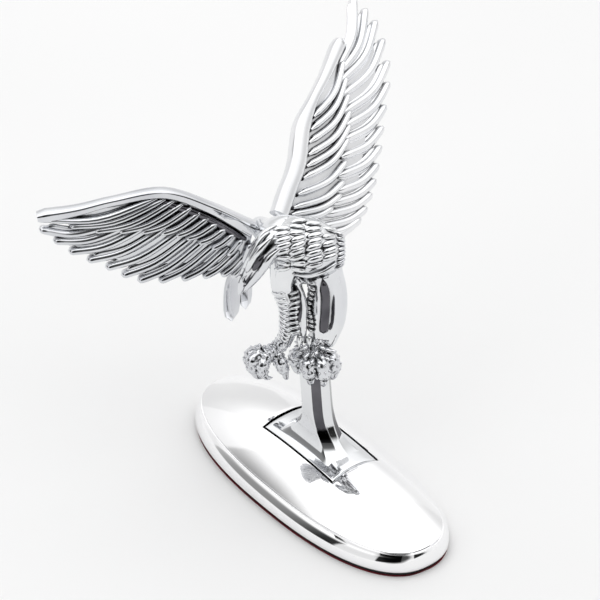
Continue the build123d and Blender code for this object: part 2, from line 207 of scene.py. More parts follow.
# The base, figure, body, left wing and stand chromes are copies of one plate in lighter and darker tones,
# with deeper or shallower painted groove shade: they paint the light and shade each part shows, the base near
# white, the body, raised wing and stand lighter, the rest of the figure darker.
BASE_CHROME = chrome("base_chrome", (0.93, 0.93, 0.94, 1), (0.97, 0.97, 0.975, 1), 0.03, 0.07, 0.02)
FIGURE_CHROME = chrome("figure_chrome", (0.62, 0.63, 0.66, 1), (0.76, 0.77, 0.79, 1), 0.04, 0.11, 0.08, 0.03)
BODY_CHROME = chrome("body_chrome", (0.70, 0.71, 0.74, 1), (0.83, 0.84, 0.85, 1), 0.04, 0.10, 0.08, 0.12)
LEFT_WING_CHROME = chrome("left_wing_chrome", (0.76, 0.77, 0.79, 1), (0.88, 0.88, 0.89, 1),
                          0.04, 0.10, 0.06, 0.28)
# Darker chrome for painted shade in hollows and painted dark reflections on facets.
PAINTED_SHADE_CHROME = chrome("painted_shade_chrome", (0.05, 0.05, 0.058, 1), (0.17, 0.165, 0.18, 1), 0.05, 0.14, 0.3, 0.4)
STAND_CHROME = chrome("stand_chrome", (0.74, 0.75, 0.77, 1), (0.84, 0.85, 0.86, 1), 0.03, 0.09, 0.04, 0.4)
FOAM = foam("foam")
FILM = film("liner_film")
PLASTIC = plastic("black_plastic")
STEEL = bare_metal("steel", (0.42, 0.43, 0.45, 1), (0.62, 0.63, 0.65, 1))
BRASS = bare_metal("bush_brass", (0.55, 0.38, 0.14, 1), (0.78, 0.60, 0.28, 1))


# ---- mesh tools ----
class Blank:
    """Vertices and faces being gathered for one piece, in millimetres."""

    def __init__(self):
        self.verts = []
        self.faces = []
        self.marks = []

    def ring_skin(self, rings, closed_ends=True, mark=0):
        """Skin over a list of equal rings of points; the mark is the material's place in the list."""
        start = len(self.verts)
        count = len(rings[0])
        for ring in rings:
            self.verts.extend(ring)
        for r in range(len(rings) - 1):
            for i in range(count):
                j = (i + 1) % count
                a = start + r * count
                self.faces.append((a + i, a + j, a + count + j, a + count + i))
                self.marks.append(mark)
        if closed_ends:
            last = start + (len(rings) - 1) * count
            self.faces.append(tuple(start + i for i in reversed(range(count))))
            self.faces.append(tuple(last + i for i in range(count)))
            self.marks += [mark, mark]

    def build(self, name, materials, body, replaced=(), sharp=40.0):
        """Turn the blank into an object that rides on a body."""
        mesh = bpy.data.meshes.new(name)
        mesh.from_pydata([Vector(v) * MM for v in self.verts], [], self.faces)
        mesh.validate()
        for material in materials:
            mesh.materials.append(material)
        for polygon, mark in zip(mesh.polygons, self.marks):
            polygon.material_index = mark
            polygon.use_smooth = True
        work = bmesh.new()
        work.from_mesh(mesh)
        bmesh.ops.recalc_face_normals(work, faces=work.faces)
        work.to_mesh(mesh)
        work.free()
        mesh.set_sharp_from_angle(angle=math.radians(sharp))
        piece = bpy.data.objects.new(name, mesh)
        bpy.context.scene.collection.objects.link(piece)
        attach(piece, body)
        if replaced:
            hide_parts(*replaced)
        return piece


def smooth_path(points, count):
    """Catmull-Rom curve through points (any equal-length tuples), sampled evenly."""
    points = [Vector(p) for p in points]
    if len(points) == 2:
        return [points[0].lerp(points[1], i / (count - 1)) for i in range(count)]
    padded = [points[0] * 2 - points[1]] + points + [points[-1] * 2 - points[-2]]
    spans = len(points) - 1
    out = []
    for i in range(count):
        place = spans * i / (count - 1)
        k = min(int(place), spans - 1)
        t = place - k
        p0, p1, p2, p3 = padded[k:k + 4]
        out.append(0.5 * ((2 * p1) + (p2 - p0) * t + (2 * p0 - 5 * p1 + 4 * p2 - p3) * t * t
                          + (3 * p1 - p0 - 3 * p2 + p3) * t ** 3))
    return out


def sweep(blank, path, wide, high, up, sides=16, power=2.0, mark=0):
    """Tube along a path with half widths and half heights, its height turned towards up."""
    rings = []
    for i, point in enumerate(path):
        ahead = path[min(i + 1, len(path) - 1)] - path[max(i - 1, 0)]
        side = ahead.cross(up).normalized()
        rise = side.cross(ahead).normalized()
        ring = []
        for k in range(sides):
            angle = 2 * math.pi * k / sides
            c = math.cos(angle)
            s = math.sin(angle)
            across = math.copysign(abs(c) ** (2 / power), c) * wide[i]
            above = math.copysign(abs(s) ** (2 / power), s) * high[i]
            ring.append(point + side * across + rise * above)
        rings.append(ring)
    blank.ring_skin(rings, mark=mark)


def bullet(t, root=0.15, tip=0.2, thin=0.35):
    """Width of a rounded bar along its length: rises at the root, round at the tip."""
    rise = thin + (1 - thin) * min(1.0, t / root) if root else 1.0
    if t > 1 - tip:
        rest = (t - 1 + tip) / tip
        return rise * math.sqrt(max(0.004, 1 - rest * rest))
    return rise


LIMB_UP = Vector((1, 0.3, 0))
LIMB_CAPS = [0.03, 0.35, 0.62, 0.85, 0.96]     # shares of the full radius through a rounded end


def chain_curve(chain, count):
    """Middle line, in the part's frame, and radii of a chain of (x, y, z, radius) above the window."""
    middle = smooth_path([c[:3] for c in chain], count)
    radii = [v[0] for v in smooth_path([(c[3], 0, 0) for c in chain], count)]
    return [p + UP * WINDOW_Z for p in middle], radii


def limb(blank, chain):
    """Smooth limb with rounded ends through a chain."""
    middle, radii = chain_curve(chain, 10 * (len(chain) - 1) + 1)
    first = (middle[0] - middle[1]).normalized()
    last = (middle[-1] - middle[-2]).normalized()
    head = [middle[0] + first * radii[0] * math.sqrt(1 - c * c) for c in LIMB_CAPS]
    tail_end = [middle[-1] + last * radii[-1] * math.sqrt(1 - c * c) for c in reversed(LIMB_CAPS)]
    wide = [radii[0] * c for c in LIMB_CAPS] + radii + [radii[-1] * c for c in reversed(LIMB_CAPS)]
    sweep(blank, head + middle + tail_end, wide, wide, LIMB_UP, sides=20)


# ---- base ----
def oval_reach(cos_a, sin_a, half_x, half_y):
    """Distance from the centre to an oval along a direction."""
    share = abs(cos_a / half_x) ** OVAL_POWER + abs(sin_a / half_y) ** OVAL_POWER
    return share ** (-1 / OVAL_POWER)


def dome_half(inset):
    """Half length and half width of the dome's edge."""
    return HALF_LENGTH - SKIRT_FLARE[0] - inset, HALF_WIDTH - SKIRT_FLARE[1] - inset


def dome_height(x, y, inset=0.0):
    """Height of the dome over a point."""
    half_x, half_y = dome_half(inset)
    share = (abs(x / half_x) ** OVAL_POWER + abs(y / half_y) ** OVAL_POWER) ** (1 / OVAL_POWER)
    return SKIRT_TOP_Z - inset / 2 + (DOME_RISE - inset / 2) * (1 - share ** 2)


def base_directions(long_count, short_count):
    """Directions round the base that hit the window's corners exactly."""
    corner = math.atan2(WINDOW_HALF[1], WINDOW_HALF[0])
    stops = [-corner, corner, math.pi - corner, math.pi + corner, 2 * math.pi - corner]
    angles = []
    for k, count in enumerate((short_count, long_count, short_count, long_count)):
        for i in range(count):
            angles.append(stops[k] + (stops[k + 1] - stops[k]) * i / count)
    return [(math.cos(a), math.sin(a)) for a in angles]


def window_reach(cos_a, sin_a, grow):
    """Distance from the centre to the window's edge along a direction."""
    to_end = (WINDOW_HALF[0] + grow) / max(abs(cos_a), 1e-6)
    to_side = (WINDOW_HALF[1] + grow) / max(abs(sin_a), 1e-6)
    return min(to_end, to_side)


def oval_ring(lean, grow, z):
    """Ring round the skirt: lean is 1 at its top and 0 at its foot, grow is outwards."""
    half_x = HALF_LENGTH - lean * SKIRT_FLARE[0] + grow
    half_y = HALF_WIDTH - lean * SKIRT_FLARE[1] + grow
    ring = []
    for c, s in BASE_DIRECTIONS:
        r = oval_reach(c, s, half_x, half_y)
        ring.append((c * r, s * r, z))
    return ring


def dome_ring(share, inset, grow):
    """Ring over the dome, from the window's edge at share 0 to the dome's edge at share 1."""
    ring = []
    for c, s in BASE_DIRECTIONS:
        near = window_reach(c, s, grow)
        far = oval_reach(c, s, *dome_half(inset))
        r = near + (far - near) * share
        ring.append((c * r, s * r, dome_height(c * r, s * r, inset)))
    return ring


def lowered(ring, drop):
    """The same ring, lower down."""
    return [(x, y, z - drop) for x, y, z in ring]


def skirt_rings():
    """Crease groove under the dome, flared skirt and rounded foot."""
    rings = [oval_ring(1.0, grow, SKIRT_TOP_Z - drop)
             for grow, drop in ((-0.08, 0.1), (-0.55, 0.3), (-0.5, 0.55), (0.16, 0.68), (0.26, 0.95))]
    for i in range(1, 9):
        t = i / 8
        rings.append(oval_ring((1 - t) ** SKIRT_CURVE, 0.26 * (1 - t), SKIRT_TOP_Z - 0.8 - 5.0 * t))
    for grow, lift in ((-0.05, 0.4), (-0.2, 0.1), (-0.5, 0)):
        rings.append(oval_ring(0, grow, SKIRT_FOOT_Z + lift))
    return rings


BASE_DIRECTIONS = base_directions(128, 64)


def base_shell():
    """Chromed shell with wall thickness, window and flared skirt; dark inside."""
    blank = Blank()
    edge = dome_ring(0.0, 0.0, 0.0)
    wall = [lowered(edge, WALL), lowered(edge, 0.5), lowered(edge, 0.16)]
    lip = [lowered(dome_ring(0.0, 0.0, 0.1), 0.04), dome_ring(0.0, 0.0, WINDOW_LIP)]
    dome = [dome_ring(1 - (1 - i / 30) ** 1.3, 0.0, WINDOW_LIP) for i in range(1, 30)]
    dome.append(dome_ring(0.994, 0.0, WINDOW_LIP))
    outside = wall + lip + dome + skirt_rings()
    inside = [oval_ring(0, -WALL, SKIRT_FOOT_Z), oval_ring(0.1, -WALL, SKIRT_FOOT_Z + 1.2)]
    inside += [oval_ring(1, -WALL, SKIRT_TOP_Z - WALL / 2)]
    inside += [dome_ring(1 - i / 12, WALL, 0.0) for i in range(13)]
    blank.ring_skin([outside[-1]] + inside + [wall[0]], closed_ends=False, mark=DARK)
    blank.ring_skin(outside, closed_ends=False)
    finishes = [BASE_CHROME, PLASTIC]
    piece = blank.build("base_shell_plated", finishes, "base", ["base_shell"], 30)
    weld(piece)
    return piece


def weld(piece):
    """Join doubled vertices where two skins meet."""
    work = bmesh.new()
    work.from_mesh(piece.data)
    bmesh.ops.remove_doubles(work, verts=work.verts, dist=0.000002)
    bmesh.ops.recalc_face_normals(work, faces=work.faces)
    work.to_mesh(piece.data)
    work.free()


# ---- stand ----
CORNER_EASE = 0.10        # share of each side taken by an eased corner
POINTS_PER_CORNER = 4


def stem_corners(height):
    """Corners of the post's eight-sided section, which spreads towards the foot."""
    flare = min(1.0, max(0.0, 1 - height / 19.0)) ** 3.2
    spread_y = min(1.0, max(0.0, 1 - height / 9.0)) ** 3.0
    half_x = 5.2 + 11.3 * flare
    half_y = 4.1 + 4.1 * spread_y
    cut_x = 2.7 - 1.1 * flare
    cut_y = 2.7 + 0.9 * flare + 2.6 * spread_y
    quarter = [(half_x, half_y - cut_y), (half_x - cut_x, half_y)]
    corners = quarter + [(-x, y) for x, y in reversed(quarter)]
    return corners + [(-x, -y) for x, y in quarter] + [(x, -y) for x, y in reversed(quarter)]


def stem_ring(height):
    """Section of the post with eased corners."""
    corners = stem_corners(height)
    ring = []
    for i, corner in enumerate(corners):
        before = Vector(corners[i - 1])
        here = Vector(corner)
        after = Vector(corners[(i + 1) % 8])
        for goal, share in ((before, 1.0), (before, 0.35), (after, 0.35), (after, 1.0)):
            near = here.lerp(goal, CORNER_EASE * share)
            pull = here.lerp((before + after) / 2, 0.012 if share < 1.0 else 0.0)
            ring.append(near + (pull - here))
    lean = STEM_LEAN * max(0.0, height) / STEM_HEIGHT
    return [(p.x + lean, p.y, WINDOW_Z - FOOT_DROP + height) for p in ring]


def stem(blank):
    """Flared faceted post, darker on its narrow chamfers above the flare: a painted dark reflection."""
    heights = [-0.6] + [STEM_HEIGHT * (i / 44) ** 1.35 for i in range(45)]
    blank.ring_skin([stem_ring(h) for h in heights])
    around = 8 * POINTS_PER_CORNER
    # Chamfers above the flare take the darker chrome, a painted dark reflection.
    for i in range(len(blank.faces) - 2):
        corner, point = divmod(i % around, POINTS_PER_CORNER)
        if corner % 2 == 0 and point == POINTS_PER_CORNER - 1 and heights[i // around] > PAINTED_CHAMFERS_FROM:
            blank.marks[i] = DARK


def plate_outline(columns=48, rows=24):
    """Points round a square from -1 to 1."""
    outline = [(-1 + 2 * i / columns, -1) for i in range(columns)]
    outline += [(1, -1 + 2 * i / rows) for i in range(rows)]
    outline += [(1 - 2 * i / columns, 1) for i in range(columns)]
    outline += [(-1, 1 - 2 * i / rows) for i in range(rows)]
    return outline


def plate_ring(shrink, level):
    """Ring round the foot plate, whose ends follow a circle about the pivot; level gives z from its top's."""
    ring = []
    for u, v in plate_outline():
        y = v * (FOOT_HALF_WIDTH - shrink)
        z = level(dome_height(FOOT_HALF_LENGTH * u, y) - FOOT_DROP)
        reach = math.sqrt(FOOT_SWING_R ** 2 - (z - PIVOT_Z) ** 2) - shrink
        ring.append((u * reach, y, z))
    return ring


def foot_plate(blank):
    """Plate that fills the window, its top a little under the dome's surface."""
    rings = []
    for k in (0.0, 0.4, 0.8):
        rings.append(plate_ring(0.0, lambda top: FOOT_BOTTOM_Z + (top - FOOT_BOTTOM_Z) * k))
    rings += [plate_ring(0.0, lambda top: top - 0.3), plate_ring(0.09, lambda top: top - 0.09)]
    rim = plate_ring(0.3, lambda top: top)
    rings.append(rim)
    for k in range(1, 14):
        share = 1 - k / 14
        inner = [(x * share, y * share) for x, y, z in rim]
        rings.append([(x, y, dome_height(x, y) - FOOT_DROP) for x, y in inner])
    blank.ring_skin(rings)


def stand():
    """Post, foot plate and the lug that the pivot pin runs through."""
    blank = Blank()
    stem(blank)
    foot_plate(blank)
    lug = [Vector((0, y, PIVOT_Z)) for y in (-4.5, 4.5)]
    sweep(blank, lug, [LUG_RADIUS] * 2, [LUG_RADIUS] * 2, UP, sides=32)
    finishes = [STAND_CHROME, PAINTED_SHADE_CHROME]
    return blank.build("stand_casting", finishes, "figure", ["stand"], 22)


# ---- wings ----
CUP = 0.0016              # how fast a wing curls back towards its trailing edge


class Wing:
    """A wing's own plane: u runs along the rim, v towards the trailing edge, w out of its face."""

    def __init__(self, root, tip, facing, side):
        self.root = at(*root)
        along = at(*tip) - self.root
        facing = Vector(facing)
        self.face = (facing - along * (facing.dot(along) / along.dot(along))).normalized()
        self.along = along.normalized()
        self.across = self.face.cross(self.along) * side
        self.length = along.length

    def place(self, u, v, w=0.0):
        """Point in the part's frame; the wing is cupped a little along its length and depth."""
        bend = (u / self.length) * (1 - u / self.length) * 4 - CUP * v * v
        return self.root + self.along * u + self.across * v + self.face * (w + bend)


def bar(blank, wing, start, end, wide, high, level=0.0, bulge=0.10, steps=14, root=0.1, tip=0.22, power=1.8,
        mark=0):
    """Rounded feather bar from start to end in the wing's plane, bowed to the trailing side."""
    a = Vector(start)
    b = Vector(end)
    reach = (b - a).length
    middle = (a + b) / 2 + Vector((0, reach * bulge))
    bow = smooth_path([(a.x, a.y, 0), (middle.x, middle.y, 0), (b.x, b.y, 0)], steps)
    fine = smooth_path([(p.x, p.y, 0) for p in bow], 120)
    shares = [1 - (1 - i / (steps - 1)) ** 1.5 for i in range(steps)]
    points = [fine[int(round(t * 119))] for t in shares]
    path = [wing.place(p.x, p.y, level) for p in points]
    cap = min(0.5, tip * 10.0 / max(reach, 1.0))
    sizes = [bullet(t, root, cap, 0.5) for t in shares]
    heights = [high * (0.55 + 0.45 * s) * min(1, s * 2.2) for s in sizes]
    sweep(blank, path, [wide * s for s in sizes], heights, wing.face, 14, power, mark)


def spread(points, count, end=1.0):
    """Points spaced evenly in a curve's parameter, up to a share of it."""
    fine = smooth_path([(x, y, 0) for x, y in points], 401)
    places = [fine[int(round(end * i / (count - 1) * 400))] for i in range(count)]
    return [Vector((p.x, p.y)) for p in places]


def rim_bar(blank, wing, rim, inner):
    """Thick leading edge between the rim line and its inner line, blunt at the tip."""
    steps = 44
    path = []
    wide = []
    for i, (p, q) in enumerate(zip(spread(rim, steps), spread(inner, steps))):
        middle = (p + q) / 2
        path.append(wing.place(middle.x, middle.y, 0.3))
        wide.append((p - q).length / 2 * min(1.0, 0.62 + (steps - 1 - i) / 5.0))
    sweep(blank, path, wide, [min(2.6, 0.9 + 0.75 * w) for w in wide], wing.face, sides=24, power=3.0)


def flight_feathers(blank, wing, starts, trail, count):
    """Long feathers, each a low vane with a round shaft on it."""
    for i, (a, b) in enumerate(zip(spread(starts, count), spread(trail, count))):
        start = a + (a - b) * 0.12
        vane_end = b + (a - b).normalized() * 1.9
        tilt = 0.15 if i % 2 else -0.15
        bar(blank, wing, start, vane_end, 2.1, 0.8, tilt, root=0.05, tip=0.3, power=2.2)
        bar(blank, wing, start, b, 1.5, 1.9)


def web(blank, wing, rim, trail):
    """Thin sheet that backs the feathers."""
    rings = []
    for p, q in zip(spread(rim, 21, 0.8), spread(trail, 21, 0.8)):
        near = p.lerp(q, 0.12)
        far = p.lerp(q, 0.80)
        front = [near.lerp(far, k / 3) for k in range(4)]
        ring = [wing.place(m.x, m.y, 0.5) for m in front]
        ring += [wing.place(m.x, m.y, -0.5) for m in reversed(front)]
        rings.append(ring)
    blank.ring_skin(rings)


def wing_casting(name, wing, rim, inner, coverts, flights, replaced, plating, channel=None):
    """Rim, web, long feathers and coverts of one wing, and a channel under the rim in the darker chrome,
    painted shade under the rim.
    """
    blank = Blank()
    rim_bar(blank, wing, rim, inner)
    flight_feathers(blank, wing, *flights)
    roots, ends, count = coverts
    for a, b in zip(spread(roots, count), spread(ends, count)):
        bar(blank, wing, a, b, 1.4, 2.6, power=1.7)
    web(blank, wing, rim, flights[1])
    # The channel's dark colour is painted shade under the rim.
    if channel:
        bar(blank, wing, *channel, 1.25, 1.7, level=0.3, bulge=-0.05, steps=20, tip=0.1, power=2.0, mark=DARK)
    return blank.build(name, [plating, PAINTED_SHADE_CHROME], "figure", [replaced], 60)


RIGHT_WING = Wing((-26.5, -4.9, 72.5), (-56.1, -66.4, 86.1), (0.905, -0.422, 0.060), 1)
LEFT_WING = Wing((-26.6, 1.1, 72.4), (-58.6, 51.1, 100.0), (0.750, 0.120, 0.650), -1)


def right_wing():
    """Wing spread to the eagle's right; its lines are (u, v) points in the wing's plane."""
    rim = [(0, 0), (15, -6.5), (30.7, -11.0), (46, -7.2), (57, -3.4), (68.5, -0.8)]
    inner = [(2, 4.4), (16, -3.4), (30.7, -8.0), (46, -4.6), (57, -0.4), (68.5, 3.4)]
    roots = [(0.6, 7.2), (6.1, 4.2), (11.7, 0.7), (17.2, -2.7), (22.6, -5.6), (28, -7.6), (33, -8.2)]
    ends = [(1.6, 14.3), (11.9, 9.8), (20.3, 6.4), (27.1, 4.8), (38.1, 4.2), (52, 4.6), (66, 1.6)]
    starts = [(-2, 12.5), (1.5, 12), (8.5, 10.4), (16.5, 7.6), (25, 4.6), (37, 3.4), (49, 3.4)]
    trail = [(1, 21.5), (7.4, 19.9), (19.9, 21.6), (33.6, 22.7), (44.5, 18.3), (57, 13), (67.2, 5.6)]
    return wing_casting("right_wing_casting", RIGHT_WING, rim, inner, (roots, ends, 12), (starts, trail, 13),
                        "right_wing", FIGURE_CHROME, ((2.2, 6.0), (31, -6.6)))


def left_wing():
    """Raised wing on the eagle's left."""
    rim = [(0, 0), (8.7, -0.6), (20.4, -0.8), (32, -3.5), (41.5, -2.3), (51.2, -1.2), (62.4, -0.8), (66, 0.2)]
    inner = [(2.4, 5.0), (10, 4.8), (18, 4.4), (30, 1.4), (41.5, 0.9), (51.2, 2.2), (62.0, 3.4), (65.4, 3.6)]
    roots = [(0.8, 7.8), (2.4, 6.2), (6.6, 5.7), (15.8, 5.3), (22.4, 4.4), (28.7, 2.4), (36, 1.2)]
    ends = [(7, 16.4), (17, 19.8), (25, 18.8), (36.8, 15.4), (44, 13.4), (52, 9.4), (59.6, 4.6)]
    starts = [(0.5, 16), (3.5, 18), (12.5, 18.6), (22, 18.4), (35, 15.6), (45, 12.4), (54, 6.6), (60, 3.8)]
    trail = [(8.9, 26), (16.5, 30), (27, 30.4), (38.2, 28.6), (52, 25.2), (68, 21.4),
             (79.5, 12.4), (82.6, 1.6)]
    return wing_casting("left_wing_casting", LEFT_WING, rim, inner, (roots, ends, 11), (starts, trail, 16),
                        "left_wing", LEFT_WING_CHROME)


# ---- eagle ----
# Chains of (x, y, z, radius), with z above the window.
TORSO = [(-27.5, -2.2, 68.6, 3.4), (-21, -3.4, 70.4, 4.8), (-14, -3.5, 73, 7.2), (-7.5, -0.5, 72.4, 8.9),
         (-5, 2.6, 70.6, 8.5)]
NECK = [(-9, -2, 74, 7.4), (-7.4, -6.5, 75.8, 6.0), (-8, -9.6, 77, 4.8)]
RUMP = [(-10, -1, 70, 7.5), (-17, -1, 64, 5.6), (-24, -1, 58, 3.4)]
BELLY = [(-6, 1, 70, 7.8), (-6, 1, 64, 5.4)]
RIGHT_LEG = [(-9.4, -6.4, 67, 5.0), (-8.0, -8.6, 60.5, 3.5), (-5.0, -8.2, 54, 3.1), (-4.6, -8.6, 47, 2.9),
             (-5.5, -9.4, 41, 2.1)]
LEFT_LEG = [(-4.4, 4.0, 65, 6.4), (-3.6, 3.8, 59, 4.9), (-3.2, 3.6, 52, 4.5), (-2.6, 2.6, 45, 4.3),
            (-1.6, 0.8, 38, 3.2)]
INNER_LOBE = [(-7.7, -6.4, 62.5, 1.3), (-6.1, -4.1, 58.9, 1.35), (-4.5, -3.3, 53.6, 1.3),
              (-3.8, -3.7, 48.3, 1.3), (-3.4, -4.2, 42.5, 1.2)]
OUTER_LOBE = [(-1.2, 6.0, 65.0, 2.4), (1.0, 6.1, 58.4, 2.5), (2.0, 5.7, 52.5, 2.5), (2.3, 4.7, 46.5, 2.3),
              (1.1, 2.6, 39.7, 2.2)]
LEG_WEB = [(-9.1, -3.7, 61.6, 2.4), (-7.8, -3.1, 54.7, 2.2), (-7.0, -3.8, 47.6, 2.0), (-6.4, -4.2, 42.3, 1.8)]
SKULL = [(-7, -6.5, 76.4, 5.6), (-8.4, -11.2, 78, 4.4), (-8.7, -14.6, 75.3, 3.7), (-9.2, -17.6, 71.8, 2.9),
         (-10.1, -20.3, 68, 2.1), (-10.6, -21.9, 64.8, 1.4), (-11.2, -22.6, 61.8, 0.6)]
CORE = (TORSO, NECK, RUMP, BELLY, RIGHT_LEG, LEFT_LEG, INNER_LOBE, OUTER_LOBE, LEG_WEB, SKULL)
CORE_VOXEL = 0.5
CORE_SMOOTHING = 5
FRONT = Vector((0.632, -0.488, 0.602))      # out of the breast
SIDE = Vector((0.611, 0.791, 0.0))          # across the breast
RISE = FRONT.cross(SIDE)


def remeshed(blank, name, voxel, rounds):
    """Fuse overlapping skins into one smooth skin."""
    mesh = bpy.data.meshes.new(name)
    mesh.from_pydata([Vector(v) * MM for v in blank.verts], [], blank.faces)
    piece = bpy.data.objects.new(name, mesh)
    bpy.context.scene.collection.objects.link(piece)
    remesh = piece.modifiers.new("fuse", "REMESH")
    remesh.mode = "VOXEL"
    remesh.voxel_size = voxel * MM
    ease = piece.modifiers.new("ease", "SMOOTH")
    ease.factor = 0.5
    ease.iterations = rounds
    graph = bpy.context.evaluated_depsgraph_get()
    made = bpy.data.meshes.new_from_object(piece.evaluated_get(graph))
    bpy.data.objects.remove(piece)
    return made


def plane_axes(outward):
    """Level and rising axes of the plane square to a direction."""
    side = UP.cross(outward).normalized()
    return side, outward.cross(side)


class Skin:
    """The smooth core, which feathers and scales are laid on."""

    def __init__(self, mesh):
        self.verts = [v.co / MM for v in mesh.vertices]
        self.faces = [tuple(p.vertices) for p in mesh.polygons]
        self.tree = BVHTree.FromPolygons(self.verts, self.faces)

    def seen(self, across, rise, outward=FRONT):
        """Point and normal of the skin seen along a direction, at a place across it."""
        side, up = plane_axes(outward)
        start = at(0, 0, 0) + side * across + up * rise + outward * 90
        hit, normal, _, _ = self.tree.ray_cast(start, -outward, 160)
        return hit, normal

    def nearest(self, point):
        """Nearest point of the skin, and its normal."""
        hit, normal, _, _ = self.tree.find_nearest(point)
        return hit, normal


def laid(blank, skin, points, wide, high, lift=0.4, sides=12, power=1.8, root=0.3, tip=0.35, mark=0):
    """Bar laid on the skin through given points (above the window)."""
    path = []
    ups = []
    for p in smooth_path([tuple(at(*q)) for q in points], 14):
        hit, normal = skin.nearest(p)
        path.append(hit + normal * lift)
        ups.append(normal)
    up = sum(ups, Vector()) / len(ups)
    sizes = [bullet(i / 13, root, tip, 0.25) for i in range(14)]
    sweep(blank, path, [wide * k for k in sizes], [high * k for k in sizes], up, sides, power, mark)


def scale(blank, hit, normal, flow, length, width, thick=0.75, lift=0.35):
    """One feather, lying along a flow direction with its free end a little proud."""
    flow = (flow - normal * flow.dot(normal)).normalized()
    path = [hit - flow * length * 0.5 - normal * 0.45, hit - flow * length * 0.2 + normal * lift * 0.5,
            hit + flow * length * 0.2 + normal * lift, hit + flow * length * 0.5 + normal * lift * 0.5]
    path = smooth_path(path, 9)
    sizes = [bullet(i / 8, 0.3, 0.4, 0.4) for i in range(9)]
    sweep(blank, path, [width * k for k in sizes], [thick * k for k in sizes], normal, sides=10, power=1.8)


def spots(skin, places):
    """Skin points seen from the front at places across the breast, above the window."""
    hits = [skin.seen(across, rise)[0] for across, rise in places]
    return [tuple(hit - at(0, 0, 0)) for hit in hits if hit]


BREAST_COLUMNS = ((-11.6, 54.2, 66.0, 8), (-7.0, 53.6, 68.0, 9), (-2.0, 55.2, 67.6, 8), (2.6, 57.2, 65.4, 5))


def breast(blank, skin):
    """Long flat feathers in columns, pointing away from the head, and the ribbed flank."""
    for column, (across, low, high, count) in enumerate(BREAST_COLUMNS):
        for i in range(count):
            rise = low + (high - low) * i / (count - 1) + 0.35 * (column % 2)
            hit, normal = skin.seen(across + 0.25 * math.sin(i * 1.7), rise)
            if hit:
                scale(blank, hit, normal, SIDE + RISE * 0.30, 5.4, 1.02)
    for i in range(9):
        hit, normal = skin.seen(5.6 + 0.5 * math.sin(0.4 * i), 55.2 + 1.25 * i)
        if hit:
            scale(blank, hit, normal, SIDE + RISE * 0.1, 3.6, 0.66, 0.9)
    border = spots(skin, ((-8.6, 52.2), (-3.4, 52.4), (1.6, 54.0), (4.6, 56.4)))
    laid(blank, skin, border, 0.75, 0.8, 0.45)


BACK_MIDDLE = Vector((-10, -1, 72))         # above the window
BACK_SIDES = (Vector((-0.8, 0.1, 0.6)), Vector((-0.1, 1.0, 0.25)), Vector((-0.4, -0.9, 0.1)))


def on_back(hit, normal, outward):
    """Whether a feather here would lie on the back, clear of the front, the legs and the head."""
    if normal.dot(FRONT) > -0.35 or normal.dot(outward) < 0.45:
        return False
    return hit.x >= -18 and hit.z >= WINDOW_Z + 63 and hit.y >= -9


def back_feathers(blank, skin):
    """Overlapping feathers on the back and shoulders, pointing to the tail."""
    flow = Vector((-0.5, 0.1, -0.8))
    for outward in BACK_SIDES:
        outward = outward.normalized()
        side, up = plane_axes(outward)
        for row in range(11):
            rise = BACK_MIDDLE.dot(up) + (row - 5) * 2.5
            for k in range(9):
                across = BACK_MIDDLE.dot(side) + (k - 4 + 0.5 * (row % 2)) * 2.9
                hit, normal = skin.seen(across, rise, outward)
                if hit and on_back(hit, normal, outward):
                    scale(blank, hit, normal, flow, 4.6, 1.4, 0.55, 0.05)


def other_side(points):
    """The same points on the far side of the head."""
    middle = Vector(SKULL[2][:3])
    axis = (Vector(SKULL[5][:3]) - middle).normalized()
    turned = (Vector((1, 0, 0)) - axis * axis.x).normalized()
    turned_points = []
    for point in points:
        aside = (Vector(point) - middle).dot(turned)
        turned_points.append(tuple(Vector(point) - turned * 2 * aside))
    return turned_points


def head_details(blank, skin):
    """Crown, brows, cheeks, nostril curls, eye hollows and gape, the same on both sides of the head; the
    hollows and gape are painted shade in the darker chrome.
    """
    crown = [(-10.4, -9, 83), (-10.7, -13.7, 81), (-10.7, -19.1, 73.6), (-11.4, -22.6, 65.7)]
    laid(blank, skin, crown, 1.1, 0.8, 0.2)
    brow = spots(skin, ((-14.4, 63.6), (-18.4, 59.6), (-20.4, 56.9), (-22.4, 52.8)))
    cheek = spots(skin, ((-11.6, 60.8), (-15.4, 57.6), (-17.7, 54.2), (-20.8, 50.6), (-23.6, 47.6)))
    hollow = spots(skin, ((-17.4, 58.0), (-19.0, 55.8), (-20.6, 53.4)))
    gape = spots(skin, ((-20.8, 52.9), (-22.4, 50.4), (-23.6, 48.6)))
    curl = spots(skin, ((-22.6, 51.8), (-23.4, 51.0), (-23.2, 50.0), (-22.6, 49.6)))
    for turn in (tuple, other_side):
        laid(blank, skin, turn(brow), 1.25, 1.1, 0.5)
        laid(blank, skin, turn(cheek), 1.35, 1.1, 0.5)
        # Eye hollows and gape in the darker chrome: painted shade.
        laid(blank, skin, turn(hollow), 1.05, 0.8, 0.1, power=2.0, tip=0.5, mark=DARK)
        laid(blank, skin, turn(gape), 0.3, 0.3, 0.2, sides=8, power=2.0, tip=0.5, mark=DARK)
        laid(blank, skin, turn(curl), 0.38, 0.6, 0.4)


def toothed(blank, skin, across, rise, count, gap, flow, length, width):
    """Column of pointed feathers down the front of a leg."""
    for i in range(count):
        hit, normal = skin.seen(across + 0.3 * math.sin(0.9 * i), rise - gap * i)
        if hit:
            scale(blank, hit, normal, flow, length, width, 0.8, 0.8)


